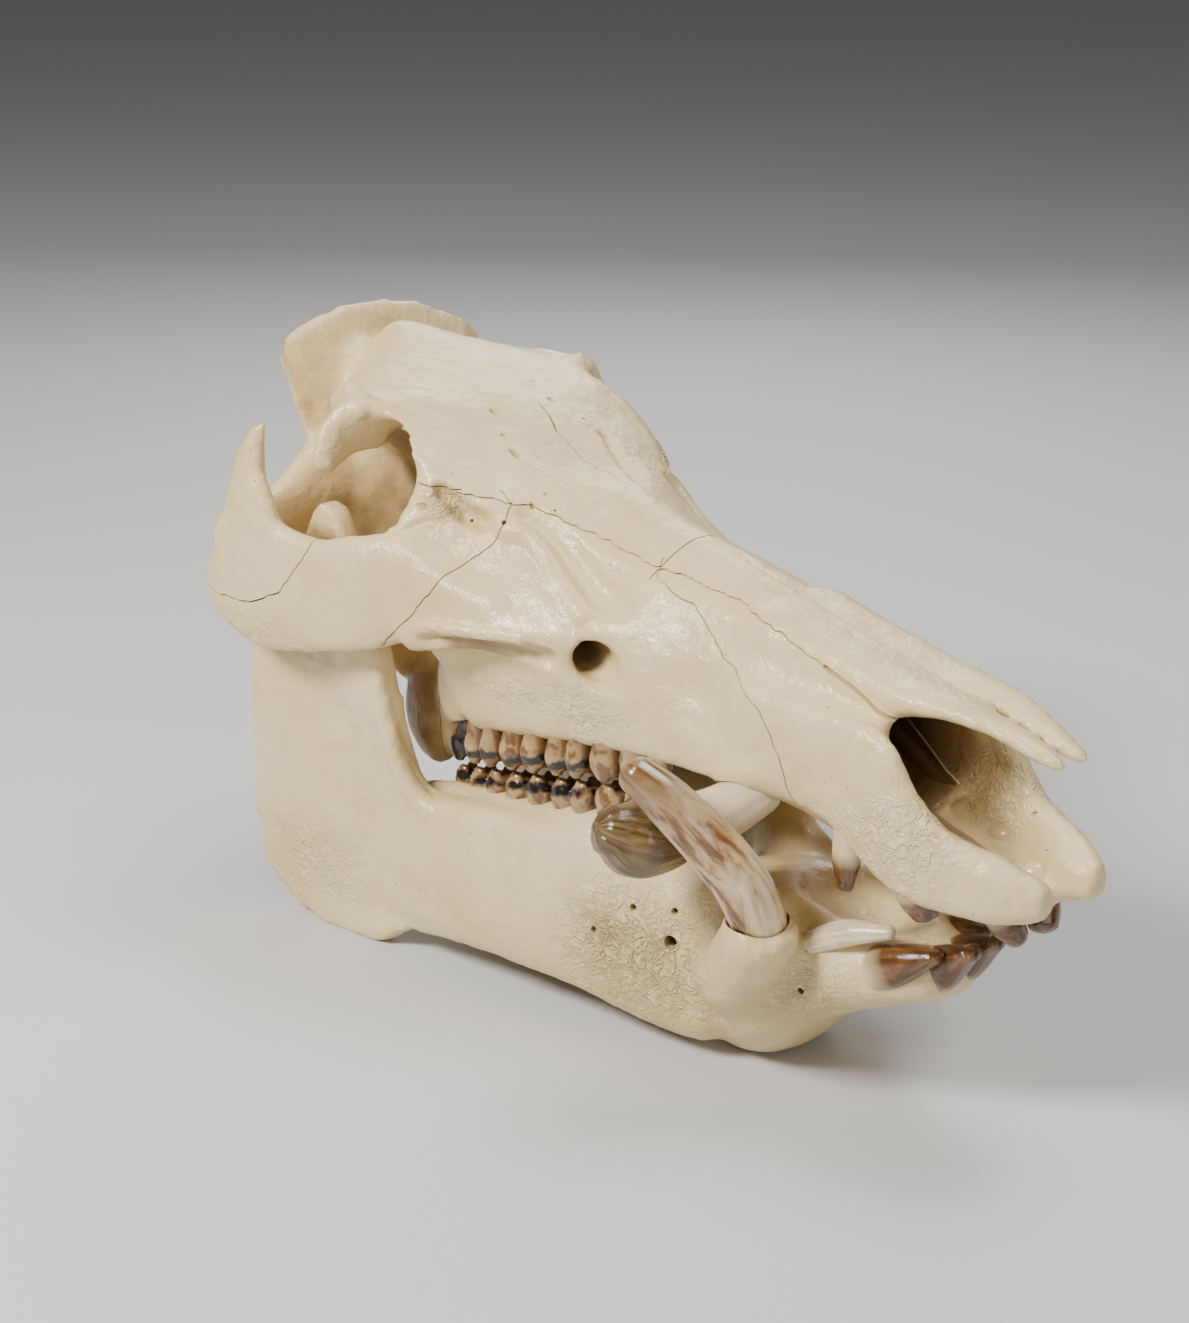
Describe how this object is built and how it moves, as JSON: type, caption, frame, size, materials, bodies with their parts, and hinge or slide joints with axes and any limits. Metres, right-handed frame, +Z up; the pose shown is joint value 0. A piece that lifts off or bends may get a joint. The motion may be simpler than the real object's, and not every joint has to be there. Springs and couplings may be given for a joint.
{
  "type": "pig skull",
  "caption": "Life-size skull of an adult boar standing on its lower jaw, jaws closed, with curved tusks, cheek teeth and incisors.",
  "frame": {"origin": "centre of the bounding box at the surface that the jaw stands on", "axes": "+X from the back of the skull to the snout, +Y to the animal's left, +Z up"},
  "size_m": [0.312, 0.1602, 0.2052],
  "materials": {
    "bone": "varnished ivory bone, glossy",
    "ivory": "cream tusk ivory with brown streaks, glossy",
    "brown_enamel": "dark brown enamel, glossy"
  },
  "bodies": {
    "root": {"braincase": "bone", "maxilla": "bone", "premaxilla_left": "bone", "premaxilla_right": "bone", "zygomatic_left": "bone", "zygomatic_right": "bone", "nasal_left": "bone", "nasal_right": "bone", "mandible": "bone", "tusk_upper_left": "brown_enamel", "tusk_upper_right": "brown_enamel", "tusk_lower_left": "ivory", "tusk_lower_right": "ivory"}
  },
  "joints": []
}
